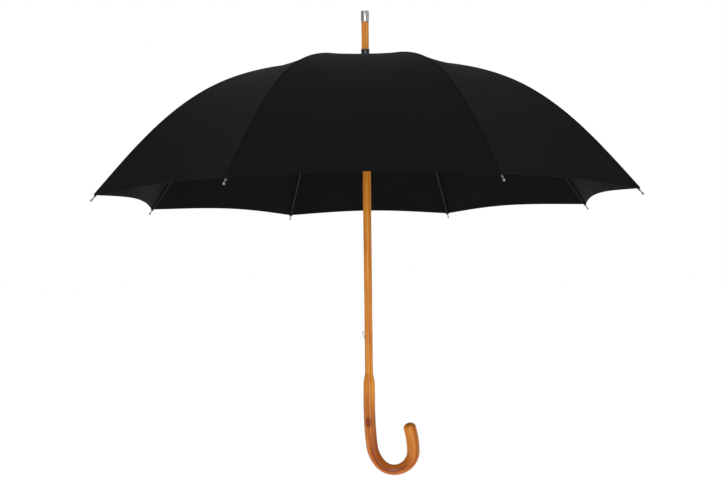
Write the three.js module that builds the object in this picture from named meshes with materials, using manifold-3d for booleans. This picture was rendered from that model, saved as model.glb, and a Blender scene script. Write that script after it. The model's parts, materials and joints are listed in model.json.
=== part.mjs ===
// A stick umbrella with eight ribs, open: a one-piece wooden stick with a crook, a steel frame
// and a black canopy. Millimetres, +Z up. The origin is on the stick's axis, at the middle of
// the grip. The crook opens towards +X and the hand spring stands out on the -X side.

import * as THREE from 'three';
import { mergeVertices } from 'three/addons/utils/BufferGeometryUtils.js';
import Module from 'manifold-3d';

// ---- driving dimensions ----

const RIB_COUNT = 8;
const NOTCH_Z = 674;             // height of the ribs' pivots in the top notch
const PIVOT_RADIUS = 12;         // of the ring of pivots, in the notch and in the runner
const CLEARANCE = 0.3;

// A rib lies in a radial plane. Its slope grows from the notch to the tip.
const RIB_LENGTH = 606;
const RIB_SLOPE_START = 5;       // degrees below level, at the notch
const RIB_SLOPE_BEND = 28.6;     // where the curvature is greatest
const RIB_SLOPE_END = 50.5;      // at the tip
const RIB_BEND_AT = 295;         // length along the rib to the greatest curvature
const RIB_JOINT_AT = 260;        // length along the rib to the stretcher's rivet
const RIB_WIDTH = 3.2;
const RIB_HEIGHT = 3.0;
const RIB_WALL = 0.55;
const RIB_CHANNEL_START = 5;     // the channel begins this far from the notch pivot
const RIB_SPLIT = 5;             // the inner length ends this far past the rivet
const RIB_BUTT_GAP = 0.6;        // between the inner and the outer length
const RIB_CHANNEL_END = 594;
const TIP_BALL_RADIUS = 2.1;
const TIP_NECK_RADIUS = 1.2;

const STRETCHER_WIDTH = 3.4;
const STRETCHER_HEIGHT = 2.6;
const STRETCHER_WALL = 0.5;
const EAR_THICKNESS = 0.5;
const EAR_LENGTH = 12;
const EAR_OVERLAP = 2.5;         // the ears reach this far over the stretcher's channel
const EYE_THICKNESS = 1.6;
const EYE_RADIUS = 1.9;
const EYE_HOLE = 0.9;
const EYE_PLATE = { low: -1.3, high: 1.15 };
const STRETCHER_EYE_REACH = 11;
const RIVET_HOLE = 1.1;

const SHAFT_RADIUS = 7.9;
const SPIKE_RADIUS = 7.2;
const TENON_RADIUS = 6.5;        // the spike's end, inside the ferrule cap
const HANDLE_RADIUS = 11.5;
const CROOK_BEND_RADIUS = 10;    // of the wood at the lowest point of the crook
const CROOK_END_RADIUS = 12.5;
const SPIKE_TOP_Z = 776;
const CAP_BOTTOM_Z = 755;
const CAP_TOP_Z = 778;
const CAP_RADIUS = 7.9;
const CAP_CHAMFER = 1.5;
const SPIKE_SHOULDER_Z = 682;
const SHOULDER_TOP_Z = 69;       // where the shaft begins to widen into the handle
const SHOULDER_BOTTOM_Z = 42;
const CROOK_START_Z = -4.5;
const CROOK_ARCS = [             // `until`: degrees from straight down at the arc's end
  { radius: 575, until: 7 },
  { radius: 62, until: 42 },
  { radius: 37, until: 180 },
  { radius: 160, until: 196 },
];

const HUB_BORE = 8.35;           // of the notch and the runner
const HUB_TUBE_RADIUS = 9.7;
const HUB_FLANGE_RADIUS = 14.5;
const HUB_FLANGE_HALF = 3;
const HUB_GROOVE_RADIUS = 11.2;
const HUB_GROOVE_HALF = 0.9;
const NOTCH_SLOT = 2.4;
const RUNNER_SLOT = 4.4;
const NOTCH_TUBE = { below: 16, above: 5.6 };
const RUNNER_TUBE = { below: 52, above: 8 };
const WIRE_RADIUS = 0.5;
const NOTCH_PIN_RADIUS = 1;

const HAND_SPRING_Z = 147.5;     // height of the hand spring's nose
const TOP_SPRING_GAP = 1.5;      // the top spring's nose stands this far under the open runner
const SPRING_HEIGHT = 27;
const SPRING_REACH = 4.4;        // the nose stands this far out of the shaft
const SPRING_WIRE = 0.7;
const SPRING_FOOT_X = -3.4;
const SPRING_HEEL_X = -4.2;      // where the wire begins to lean out, above its foot
const SPRING_RETURN_X = -4.6;
const SPRING_SLOT = { width: 2.6, deep: 1.5, below: 3, above: 5 };
const RUNNER_WINDOW = { width: 4.4, deep: 4, below: 26, above: 4 };

const FABRIC_THICKNESS = 1.0;
const FABRIC_GAP = 1.3;          // between a rib's back and the fabric
const FABRIC_CORNER_AT = 597;    // length along the rib to the canopy's corner
const CROWN_HOLE_RADIUS = 10.5;
const CROWN_LIFT = { height: 2.2, from: 17, to: 46 };   // the fabric rises over the notch
const HEM_SAG = 24;              // below the straight line between two tips
const SAG_GROWTH = 1.85;         // power of the length along the rib
const HEM_SCALLOP = 22;          // the hem curves in this far between two tips
const PANEL_STEPS = 6;

const ROSETTE = { z: 6.3, thickness: 0.8, radius: 17 };
const COLLAR = { z: 8.3, height: 19.2, radius: 8.5, chamfer: 0.6 };

const BAND = { rib: 3, from: 430, to: 575, width: 20, thickness: 1.2, gap: 0.9 };
const STUD = { radius: 5.5, rim: 0.8, height: 1.9, shoulder: 1.5, inset: 12, gap: 0.9 };

// ---- solids ----

const wasm = await Module();
wasm.setup();

const RADIANS = Math.PI / 180;
const HALF_GORE = Math.PI / RIB_COUNT;

// A closed geometry with positions only, its shared vertices merged.
function closed(geometry) {
  const bare = geometry.clone();
  bare.deleteAttribute('normal');
  bare.deleteAttribute('uv');
  return mergeVertices(bare, 1e-4);
}

function toSolid(geometry) {
  const bare = closed(geometry);
  return new wasm.Manifold(new wasm.Mesh({
    numProp: 3,
    vertProperties: new Float32Array(bare.attributes.position.array),
    triVerts: new Uint32Array(bare.index.array),
  }));
}

function toGeometry(solid) {
  const mesh = solid.getMesh();
  const places = new Float32Array(mesh.vertProperties);
  const geometry = new THREE.BufferGeometry();
  geometry.setAttribute('position', new THREE.BufferAttribute(places, 3));
  geometry.setIndex(new THREE.BufferAttribute(new Uint32Array(mesh.triVerts), 1));
  return geometry;
}

function join(...geometries) {
  return toGeometry(geometries.map(toSolid).reduce((all, next) => all.add(next)));
}

function cut(body, ...tools) {
  return toGeometry(tools.map(toSolid).reduce((all, next) => all.subtract(next), toSolid(body)));
}

// Moves every vertex of a geometry to the place that a function gives for it.
function shaped(geometry, place) {
  const position = geometry.attributes.position;
  const point = new THREE.Vector3();
  for (let i = 0; i < position.count; i += 1) {
    point.fromBufferAttribute(position, i);
    const moved = place(point);
    position.setXYZ(i, moved.x, moved.y, moved.z);
  }
  return closed(geometry);
}

function box(low, high) {
  const size = new THREE.Vector3().subVectors(high, low);
  const centre = new THREE.Vector3().addVectors(high, low).multiplyScalar(0.5);
  return new THREE.BoxGeometry(size.x, size.y, size.z).translate(centre.x, centre.y, centre.z);
}

// A solid of revolution about Z, from [radius, z] points that close on themselves or on the axis.
function turned(points, segments = 24) {
  const profile = points.map(([radius, z]) => new THREE.Vector2(radius, z));
  return new THREE.LatheGeometry(profile, segments).rotateX(Math.PI / 2);
}

// A rod along Y.
function pinAlongY(radius, length, segments = 10) {
  return new THREE.CylinderGeometry(radius, radius, length, segments);
}

// ---- the rib's curve, from the notch pivot, in its own radial plane ----

function ribSlope(along) {
  const curvature = (2 * (RIB_SLOPE_BEND - RIB_SLOPE_START)) / RIB_BEND_AT;
  if (along < RIB_BEND_AT) {
    return (RIB_SLOPE_START + (curvature * along ** 2) / (2 * RIB_BEND_AT)) * RADIANS;
  }
  const past = along - RIB_BEND_AT;
  const rest = RIB_LENGTH - RIB_BEND_AT;
  const endCurvature = (2 * (RIB_SLOPE_END - RIB_SLOPE_BEND)) / rest - curvature;
  const eased = ((curvature - endCurvature) * past ** 2) / (2 * rest);
  return (RIB_SLOPE_BEND + curvature * past - eased) * RADIANS;
}

const RIB_STEP = 1;
const ribTable = [{ x: PIVOT_RADIUS, z: 0 }];
for (let along = 0; along < RIB_LENGTH; along += RIB_STEP) {
  const last = ribTable[ribTable.length - 1];
  const slope = ribSlope(along + RIB_STEP / 2);
  ribTable.push({ x: last.x + Math.cos(slope) * RIB_STEP, z: last.z - Math.sin(slope) * RIB_STEP });
}

function ribPoint(along) {
  const index = THREE.MathUtils.clamp(Math.floor(along / RIB_STEP), 0, ribTable.length - 2);
  const share = along / RIB_STEP - index;
  const from = ribTable[index];
  const to = ribTable[index + 1];
  return { x: from.x + (to.x - from.x) * share, z: from.z + (to.z - from.z) * share };
}

// Length along the rib at a radius from the stick's axis.
function ribAlongAt(radius) {
  const index = ribTable.findIndex((point) => point.x > radius);
  if (index < 1) return index === 0 ? 0 : RIB_LENGTH;
  const from = ribTable[index - 1];
  return (index - 1 + (radius - from.x) / (ribTable[index].x - from.x)) * RIB_STEP;
}

// A point at a length along the rib, y across it and `up` out of its back.
function onRib(along, y, up) {
  const point = ribPoint(along);
  const slope = ribSlope(along);
  return new THREE.Vector3(point.x + Math.sin(slope) * up, y, point.z + Math.cos(slope) * up);
}

// A bar that follows the rib's curve.
function ribBar(from, to, halfWidth, low, high, steps) {
  return shaped(new THREE.BoxGeometry(1, 1, 1, steps, 1, 1), (p) => (
    onRib(from + (p.x + 0.5) * (to - from), p.y * 2 * halfWidth, low + (p.z + 0.5) * (high - low))
  ));
}

// A channel that opens downwards.
function ribChannel(from, to, steps) {
  const half = RIB_HEIGHT / 2;
  const outer = ribBar(from, to, RIB_WIDTH / 2, -half, half, steps);
  const hollow = ribBar(from - 1, to + 1, RIB_WIDTH / 2 - RIB_WALL, -RIB_HEIGHT, half - RIB_WALL, steps);
  return cut(outer, hollow);
}

const joint = ribPoint(RIB_JOINT_AT);
const linkLength = Math.hypot(joint.x - PIVOT_RADIUS, joint.z);
const linkAngle = Math.asin(-joint.z / linkLength);
const RUNNER_Z = -2 * linkLength * Math.sin(linkAngle);   // below the notch pivots

// ---- the stick ----

// The wood is slimmest at the lowest point of the crook, and fullest towards its end.
function crookRadius(heading) {
  const lowest = 90;
  if (heading < lowest) {
    const share = THREE.MathUtils.smoothstep(heading, 0, lowest);
    return THREE.MathUtils.lerp(HANDLE_RADIUS, CROOK_BEND_RADIUS, share);
  }
  const share = THREE.MathUtils.smoothstep(heading, lowest, 2 * lowest);
  return THREE.MathUtils.lerp(CROOK_BEND_RADIUS, CROOK_END_RADIUS, share);
}

// Stations from the spike's top down the axis and round the crook. `heading` is the angle from
// straight down, turning towards +X.
function stickStations() {
  const stations = [];
  const straight = (z, radius) => stations.push({ x: 0, z, heading: 0, radius });
  straight(SPIKE_TOP_Z, TENON_RADIUS);
  straight(CAP_BOTTOM_Z - CLEARANCE, TENON_RADIUS);
  straight(CAP_BOTTOM_Z - 2 * CLEARANCE, SPIKE_RADIUS);
  straight(SPIKE_SHOULDER_Z, SPIKE_RADIUS);
  straight(SPIKE_SHOULDER_Z - 1, SHAFT_RADIUS);
  straight(400, SHAFT_RADIUS);
  const shoulderSteps = 8;
  for (let i = 0; i <= shoulderSteps; i += 1) {
    const share = i / shoulderSteps;
    const swell = Math.sin((share * Math.PI) / 2) ** 1.4;
    straight(
      THREE.MathUtils.lerp(SHOULDER_TOP_Z, SHOULDER_BOTTOM_Z, share),
      THREE.MathUtils.lerp(SHAFT_RADIUS, HANDLE_RADIUS, swell),
    );
  }
  straight(CROOK_START_Z, HANDLE_RADIUS);
  const turnStep = 9;
  let { x, z, heading } = stations[stations.length - 1];
  CROOK_ARCS.forEach(({ radius, until }) => {
    const steps = Math.max(3, Math.round((until - heading) / turnStep));
    const start = { x, z, heading };
    for (let i = 1; i <= steps; i += 1) {
      heading = start.heading + ((until - start.heading) * i) / steps;
      const a = start.heading * RADIANS;
      const b = heading * RADIANS;
      x = start.x + radius * (Math.cos(a) - Math.cos(b));
      z = start.z + radius * (Math.sin(a) - Math.sin(b));
      stations.push({ x, z, heading, radius: crookRadius(heading) });
    }
  });
  const dome = 5;
  for (let i = 1; i <= dome; i += 1) {
    const angle = (i / dome) * 82 * RADIANS;
    const reach = CROOK_END_RADIUS * Math.sin(angle) * 0.8;
    const a = heading * RADIANS;
    stations.push({
      x: x + reach * Math.sin(a),
      z: z - reach * Math.cos(a),
      heading,
      radius: CROOK_END_RADIUS * Math.cos(angle),
    });
  }
  return stations.reverse();
}

function stickGeometry() {
  const stations = stickStations();
  const rows = stations.length - 1;
  const rod = new THREE.CylinderGeometry(1, 1, 1, 20, rows).rotateX(Math.PI / 2);
  return shaped(rod, (p) => {
    const station = stations[Math.round((p.z + 0.5) * rows)];
    const a = station.heading * RADIANS;
    const side = p.x * station.radius;
    return new THREE.Vector3(
      station.x + Math.cos(a) * side,
      p.y * station.radius,
      station.z + Math.sin(a) * side,
    );
  });
}

// The slot in the shaft that a spring lies in, below and beside its nose.
function springSlot(noseZ) {
  const half = SPRING_SLOT.width / 2;
  return box(
    new THREE.Vector3(-SHAFT_RADIUS - 1, -half, noseZ - SPRING_HEIGHT - SPRING_SLOT.below),
    new THREE.Vector3(SPRING_SLOT.deep, half, noseZ + SPRING_SLOT.above),
  );
}

// A bent wire: its foot in the slot, a long slope out to the nose, and a short return.
function springGeometry(noseZ) {
  const foot = noseZ - SPRING_HEIGHT;
  const noseX = -SHAFT_RADIUS - SPRING_REACH;
  const points = [
    new THREE.Vector3(SPRING_FOOT_X, 0, foot),
    new THREE.Vector3(SPRING_HEEL_X, 0, foot + 3),
    new THREE.Vector3(noseX + 1.2, 0, noseZ - 3.4),
    new THREE.Vector3(noseX, 0, noseZ - 1),
    new THREE.Vector3(noseX + 1.2, 0, noseZ),
    new THREE.Vector3(SPRING_RETURN_X, 0, noseZ + 1),
  ];
  const path = new THREE.CatmullRomCurve3(points, false, 'centripetal');
  const section = new THREE.Shape().absarc(0, 0, SPRING_WIRE, 0, 2 * Math.PI);
  return closed(new THREE.ExtrudeGeometry(section, { steps: 10, curveSegments: 3, extrudePath: path }));
}

// ---- the crown's small parts ----

function capGeometry() {
  const bore = TENON_RADIUS + CLEARANCE;
  return closed(turned([
    [0, SPIKE_TOP_Z + CLEARANCE],
    [bore, SPIKE_TOP_Z + CLEARANCE],
    [bore, CAP_BOTTOM_Z],
    [CAP_RADIUS, CAP_BOTTOM_Z],
    [CAP_RADIUS, CAP_TOP_Z - CAP_CHAMFER],
    [CAP_RADIUS - CAP_CHAMFER, CAP_TOP_Z],
    [0, CAP_TOP_Z],
  ]));
}

function collarGeometry() {
  const bore = SPIKE_RADIUS + CLEARANCE;
  const low = NOTCH_Z + COLLAR.z;
  const high = low + COLLAR.height;
  return closed(turned([
    [bore, low],
    [COLLAR.radius, low],
    [COLLAR.radius, high - COLLAR.chamfer],
    [COLLAR.radius - COLLAR.chamfer, high],
    [bore, high],
    [bore, low],
  ]));
}

function rosetteGeometry() {
  const bore = SHAFT_RADIUS + CLEARANCE;
  const low = NOTCH_Z + ROSETTE.z;
  const high = low + ROSETTE.thickness;
  return closed(turned([
    [bore, low],
    [ROSETTE.radius, low],
    [ROSETTE.radius, high],
    [bore, high],
    [bore, low],
  ]));
}

// ---- notch and runner ----

// A tube with a grooved flange that is slotted for eight link ends.
function hubGeometry(tube, slotWidth, centreZ) {
  const r = HUB_FLANGE_RADIUS;
  const f = HUB_FLANGE_HALF;
  const g = HUB_GROOVE_HALF;
  const chamfer = 0.6;
  const body = turned([
    [HUB_BORE, -tube.below],
    [HUB_TUBE_RADIUS, -tube.below],
    [HUB_TUBE_RADIUS, -f],
    [r - chamfer, -f],
    [r, -f + chamfer],
    [r, -g],
    [HUB_GROOVE_RADIUS, -g],
    [HUB_GROOVE_RADIUS, g],
    [r, g],
    [r, f - chamfer],
    [r - chamfer, f],
    [HUB_TUBE_RADIUS, f],
    [HUB_TUBE_RADIUS, tube.above],
    [HUB_BORE, tube.above],
    [HUB_BORE, -tube.below],
  ], 32);
  const slots = [];
  for (let k = 0; k < RIB_COUNT; k += 1) {
    const slot = box(
      new THREE.Vector3(HUB_TUBE_RADIUS + 0.15, -slotWidth / 2, -f - 1),
      new THREE.Vector3(r + 2, slotWidth / 2, f + 1),
    );
    slots.push(slot.rotateZ(azimuth(k)));
  }
  return toGeometry(toSolid(cut(body, ...slots)).translate([0, 0, centreZ]));
}

function azimuth(k) {
  return (2 * k + 1) * HALF_GORE;
}

function runnerGeometry() {
  const z = NOTCH_Z + RUNNER_Z;
  const window = box(
    new THREE.Vector3(-HUB_TUBE_RADIUS - 1, -RUNNER_WINDOW.width / 2, z - RUNNER_WINDOW.below),
    new THREE.Vector3(-RUNNER_WINDOW.deep, RUNNER_WINDOW.width / 2, z - RUNNER_WINDOW.above),
  );
  return cut(hubGeometry(RUNNER_TUBE, RUNNER_SLOT, z), window);
}

// ---- ribs, stretchers and tips ----

function eyePlate(reach) {
  const plate = box(
    new THREE.Vector3(0, -EYE_THICKNESS / 2, EYE_PLATE.low),
    new THREE.Vector3(reach, EYE_THICKNESS / 2, EYE_PLATE.high),
  );
  return cut(join(plate, pinAlongY(EYE_RADIUS, EYE_THICKNESS)), pinAlongY(EYE_HOLE, EYE_THICKNESS + 1));
}

function ribInnerGeometry() {
  const channel = ribChannel(RIB_CHANNEL_START, RIB_JOINT_AT + RIB_SPLIT, 8);
  const eye = eyePlate(RIB_CHANNEL_START + 5)
    .rotateY(RIB_SLOPE_START * RADIANS)
    .translate(PIVOT_RADIUS, 0, 0);
  const hole = pinAlongY(RIVET_HOLE, RIB_WIDTH + 2).translate(joint.x, 0, joint.z);
  return cut(join(channel, eye), hole);
}

function ribOuterGeometry() {
  return ribChannel(RIB_JOINT_AT + RIB_SPLIT + RIB_BUTT_GAP, RIB_CHANNEL_END, 10);
}

function ribTipGeometry() {
  const start = RIB_CHANNEL_END + CLEARANCE;
  const ballAt = RIB_LENGTH - TIP_BALL_RADIUS;
  const points = [[0, start], [TIP_NECK_RADIUS, start]];
  const neckAngle = Math.asin(TIP_NECK_RADIUS / TIP_BALL_RADIUS);
  const steps = 4;
  for (let i = 0; i <= steps; i += 1) {
    const angle = (Math.PI - neckAngle) * (1 - i / steps);
    const radius = i === steps ? 0 : TIP_BALL_RADIUS * Math.sin(angle);
    points.push([radius, ballAt + TIP_BALL_RADIUS * Math.cos(angle)]);
  }
  const slope = ribSlope(RIB_LENGTH);
  const end = ribPoint(RIB_LENGTH);
  return closed(turned(points, 8))
    .translate(0, 0, -RIB_LENGTH)
    .rotateY(Math.PI / 2 + slope)
    .translate(end.x, 0, end.z);
}

// The stretcher lies along +X from the rivet, then turns to point at the runner.
function stretcherGeometry() {
  const earInner = RIB_WIDTH / 2 + 0.35;
  const earOuter = earInner + EAR_THICKNESS;
  const half = STRETCHER_HEIGHT / 2;
  const channelFrom = EAR_LENGTH - EAR_OVERLAP;
  const channelTo = linkLength - STRETCHER_EYE_REACH + 5;
  const wall = STRETCHER_WALL;
  const outer = box(
    new THREE.Vector3(channelFrom, -STRETCHER_WIDTH / 2, -half),
    new THREE.Vector3(channelTo, STRETCHER_WIDTH / 2, half),
  );
  const hollow = box(
    new THREE.Vector3(channelFrom - 1, -STRETCHER_WIDTH / 2 + wall, -half - 1),
    new THREE.Vector3(channelTo + 1, STRETCHER_WIDTH / 2 - wall, half - wall),
  );
  const channel = cut(outer, hollow);
  const bridge = box(
    new THREE.Vector3(channelFrom, -earOuter, half - wall),
    new THREE.Vector3(EAR_LENGTH, earOuter, half),
  );
  const ears = [-1, 1].map((side) => {
    const middle = (side * (earInner + earOuter)) / 2;
    const plate = box(
      new THREE.Vector3(0, middle - EAR_THICKNESS / 2, -half),
      new THREE.Vector3(EAR_LENGTH, middle + EAR_THICKNESS / 2, half),
    );
    const round = pinAlongY(half, EAR_THICKNESS).translate(0, middle, 0);
    return join(plate, round);
  });
  const eye = eyePlate(STRETCHER_EYE_REACH).rotateY(Math.PI).translate(linkLength, 0, 0);
  const hole = pinAlongY(RIVET_HOLE, 2 * earOuter + 2);
  return cut(join(channel, bridge, ...ears, eye), hole)
    .rotateY(Math.PI - linkAngle)
    .translate(joint.x, 0, joint.z);
}

// ---- canopy ----

// Height of the fabric's underside at a place in a rib's own sector: x out along the rib,
// y across. Between two ribs the fabric hangs below the straight line that joins them.
function fabricZ(x, y) {
  const alongGore = x * Math.cos(HALF_GORE) + Math.abs(y) * Math.sin(HALF_GORE);
  const across = Math.abs(y) * Math.cos(HALF_GORE) - x * Math.sin(HALF_GORE);
  const halfWidth = alongGore * Math.tan(HALF_GORE);
  const along = ribAlongAt(alongGore / Math.cos(HALF_GORE));
  const share = THREE.MathUtils.clamp(along / FABRIC_CORNER_AT, 0, 1);
  const sag = HEM_SAG * share ** SAG_GROWTH;
  const back = ribPoint(along).z + (RIB_HEIGHT / 2 + FABRIC_GAP) / Math.cos(ribSlope(along));
  const away = THREE.MathUtils.smoothstep(Math.hypot(x, y), CROWN_LIFT.from, CROWN_LIFT.to);
  const lift = CROWN_LIFT.height * (1 - away);
  return back + lift - sag * (1 - (across / halfWidth) ** 2);
}

const cornerRadius = ribPoint(FABRIC_CORNER_AT).x;

// Radius of the hem at an angle from the rib.
function hemRadius(angle) {
  const fromMiddle = HALF_GORE - Math.abs(angle);
  const share = Math.tan(fromMiddle) / Math.tan(HALF_GORE);
  const alongGore = cornerRadius * Math.cos(HALF_GORE) - HEM_SCALLOP * (1 - share ** 2);
  return alongGore / Math.cos(fromMiddle);
}

// One rib's share of the canopy, between two radii that may change with the angle.
function panelGeometry(innerRadius, outerRadius) {
  const sheet = new THREE.BoxGeometry(1, 1, 1, PANEL_STEPS, PANEL_STEPS, 1);
  return shaped(sheet, (p) => {
    const angle = p.y * 2 * HALF_GORE;
    const radius = THREE.MathUtils.lerp(innerRadius(angle), outerRadius(angle), p.x + 0.5);
    const x = radius * Math.cos(angle);
    const y = radius * Math.sin(angle);
    const z = fabricZ(x, y) + (p.z + 0.5) * FABRIC_THICKNESS;
    const atEdge = Math.abs(p.y) > 0.499;
    if (!atEdge) return new THREE.Vector3(x, y, z);
    const gap = CLEARANCE / 2;
    const inwards = Math.sign(p.y) * gap * Math.cos(HALF_GORE);
    return new THREE.Vector3(x + gap * Math.sin(HALF_GORE), y - inwards, z);
  });
}

const canopySplit = joint.x + RIB_SPLIT;

function canopyInnerGeometry() {
  return panelGeometry(() => CROWN_HOLE_RADIUS, (angle) => canopySplit / Math.cos(angle));
}

function canopyOuterGeometry() {
  return panelGeometry((angle) => (canopySplit + CLEARANCE) / Math.cos(angle), hemRadius);
}

// A strap that lies on the outside of the canopy, along a rib.
function tieBandGeometry() {
  return shaped(new THREE.BoxGeometry(1, 1, 1, 8, 2, 1), (p) => {
    const along = THREE.MathUtils.lerp(BAND.from, BAND.to, p.x + 0.5);
    const { x } = ribPoint(along);
    const y = p.y * BAND.width;
    const low = fabricZ(x, y) + FABRIC_THICKNESS + BAND.gap;
    return new THREE.Vector3(x, y, low + (p.z + 0.5) * BAND.thickness);
  });
}

function tieBandStudGeometry() {
  const along = BAND.from + STUD.inset;
  const { x } = ribPoint(along);
  const disc = turned([
    [0, 0],
    [STUD.radius, 0],
    [STUD.radius, STUD.rim],
    [STUD.radius - STUD.shoulder, STUD.height - 0.2],
    [0, STUD.height],
  ], 20);
  const z = fabricZ(x, 0) + FABRIC_THICKNESS + BAND.gap + BAND.thickness + STUD.gap;
  return closed(disc).rotateY(ribSlope(along)).translate(x, 0, z);
}

// ---- the assembly ----

const wood = { color: 0xb0713a, roughness: 0.35, metalness: 0 };
const steel = { color: 0x16171a, roughness: 0.4, metalness: 0.6 };
const chrome = { color: 0xc9ccd0, roughness: 0.18, metalness: 1 };
const fabric = { color: 0x17181c, roughness: 0.85, metalness: 0 };
const blackFinish = { color: 0x101114, roughness: 0.3, metalness: 0.2 };

const umbrella = new THREE.Group();

function add(parent, name, geometry, finish) {
  const mesh = new THREE.Mesh(geometry, new THREE.MeshStandardMaterial(finish));
  mesh.name = name;
  parent.add(mesh);
}

const runnerOpenZ = NOTCH_Z + RUNNER_Z;
const topSpringZ = runnerOpenZ - RUNNER_TUBE.below - TOP_SPRING_GAP;

// The notch is pinned through the shaft, under its flange.
const pinZ = NOTCH_Z - (NOTCH_TUBE.below + HUB_FLANGE_HALF) / 2;
const pinHole = pinAlongY(NOTCH_PIN_RADIUS + CLEARANCE, 4 * HUB_TUBE_RADIUS, 12).translate(0, 0, pinZ);
const pin = pinAlongY(NOTCH_PIN_RADIUS, 2 * HUB_TUBE_RADIUS + 1, 12).translate(0, 0, pinZ);
const wire = new THREE.TorusGeometry(PIVOT_RADIUS, WIRE_RADIUS, 5, 32).translate(0, 0, NOTCH_Z);

const stick = cut(stickGeometry(), springSlot(HAND_SPRING_Z), springSlot(topSpringZ), pinHole);
add(umbrella, 'stick', stick, wood);
add(umbrella, 'ferrule_cap', capGeometry(), chrome);
add(umbrella, 'crown_collar', collarGeometry(), blackFinish);
add(umbrella, 'crown_rosette', rosetteGeometry(), fabric);
add(umbrella, 'top_notch', cut(hubGeometry(NOTCH_TUBE, NOTCH_SLOT, NOTCH_Z), pinHole), chrome);
add(umbrella, 'notch_pin', closed(pin), chrome);
add(umbrella, 'notch_wire', closed(wire), chrome);
add(umbrella, 'runner', runnerGeometry(), chrome);
add(umbrella, 'hand_spring', springGeometry(HAND_SPRING_Z), chrome);
add(umbrella, 'top_spring', springGeometry(topSpringZ), chrome);

for (let k = 0; k < RIB_COUNT; k += 1) {
  const sector = new THREE.Group();
  sector.rotation.z = azimuth(k);
  sector.position.z = NOTCH_Z;
  umbrella.add(sector);
  const n = k + 1;
  add(sector, `rib_${n}_inner`, ribInnerGeometry(), steel);
  add(sector, `rib_${n}_outer`, ribOuterGeometry(), steel);
  add(sector, `rib_tip_${n}`, ribTipGeometry(), chrome);
  add(sector, `stretcher_${n}`, stretcherGeometry(), steel);
  add(sector, `canopy_${n}_inner`, canopyInnerGeometry(), fabric);
  add(sector, `canopy_${n}_outer`, canopyOuterGeometry(), fabric);
  if (n === BAND.rib) {
    add(sector, 'tie_band', tieBandGeometry(), fabric);
    add(sector, 'tie_band_stud', tieBandStudGeometry(), chrome);
  }
}

export default umbrella;
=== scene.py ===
import json
import math

import bmesh
import bpy
from mathutils import Matrix, Vector


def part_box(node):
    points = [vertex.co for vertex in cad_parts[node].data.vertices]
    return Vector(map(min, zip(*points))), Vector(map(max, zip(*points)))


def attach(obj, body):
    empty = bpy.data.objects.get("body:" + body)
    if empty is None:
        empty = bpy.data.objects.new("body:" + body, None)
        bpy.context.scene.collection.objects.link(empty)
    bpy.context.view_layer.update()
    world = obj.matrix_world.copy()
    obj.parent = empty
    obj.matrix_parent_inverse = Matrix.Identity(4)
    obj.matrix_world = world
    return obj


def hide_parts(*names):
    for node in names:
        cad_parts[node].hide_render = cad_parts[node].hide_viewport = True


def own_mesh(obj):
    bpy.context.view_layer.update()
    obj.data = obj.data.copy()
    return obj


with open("model.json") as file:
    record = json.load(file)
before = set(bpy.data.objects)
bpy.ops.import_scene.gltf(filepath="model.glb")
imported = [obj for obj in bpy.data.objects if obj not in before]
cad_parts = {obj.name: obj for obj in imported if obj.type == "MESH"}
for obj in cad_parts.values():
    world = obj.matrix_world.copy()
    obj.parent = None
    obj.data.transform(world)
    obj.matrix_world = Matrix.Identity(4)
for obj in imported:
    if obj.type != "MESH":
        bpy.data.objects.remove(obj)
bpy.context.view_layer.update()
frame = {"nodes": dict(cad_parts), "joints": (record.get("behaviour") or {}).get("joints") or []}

# A stick umbrella, open. Metres, +Z up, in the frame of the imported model.

JOINTS = {joint["name"]: joint for joint in frame["joints"]}
MM = 0.001

# ---- sizes that the CAD model has too ----

RIB_COUNT = 8
HALF_GORE = math.pi / RIB_COUNT
NOTCH_Z = JOINTS["rib_1_hinge"]["pos_m"][2]
PIVOT_RADIUS = math.hypot(*JOINTS["rib_1_hinge"]["pos_m"][:2])
RIVET_RADIUS = math.hypot(*JOINTS["rib_1_flex"]["pos_m"][:2])
RIVET_Z = JOINTS["rib_1_flex"]["pos_m"][2] - NOTCH_Z

RIB_LENGTH = 606 * MM
RIB_SLOPE_START = math.radians(5)
RIB_SLOPE_BEND = math.radians(28.6)
RIB_SLOPE_END = math.radians(50.5)
RIB_BEND_AT = 295 * MM
RIB_JOINT_AT = 260 * MM
RIB_HALF_HEIGHT = 1.5 * MM
RIB_CHANNEL_END = 594 * MM
TIP_BALL_RADIUS = 2.1 * MM
TIP_NECK_RADIUS = 1.2 * MM

FABRIC_GAP = 1.3 * MM
CLOTH_STRETCH = 1.01            # the hung cloth's area, as a share of its flat area
FABRIC_CORNER_AT = 597 * MM
CROWN_HOLE_RADIUS = 10.5 * MM
CROWN_LIFT = 2.2 * MM
HEM_SAG = 24 * MM
SAG_GROWTH = 1.85
HEM_SCALLOP = 22 * MM
CANOPY_SPLIT = RIVET_RADIUS + 5 * MM
CLOTH_RISE = 0.5 * MM           # the cloth's middle, above the underside of the CAD shell
CLOTH_THICKNESS = 0.35 * MM

SHAFT_RADIUS = 7.9 * MM
HANDLE_RADIUS = 11.5 * MM
CROOK_BEND_RADIUS = 10 * MM
CROOK_END_RADIUS = 12.5 * MM
CROOK_START_Z = -4.5 * MM
SHOULDER_TOP_Z = 69 * MM
SHOULDER_BOTTOM_Z = 42 * MM
# Each arc of the crook: its radius, and the heading in degrees at its end.
CROOK_ARCS = ((575 * MM, 7), (62 * MM, 42), (37 * MM, 180), (160 * MM, 196))

SPRING_RISE = 27 * MM
SPRING_REACH = 4.4 * MM

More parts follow.
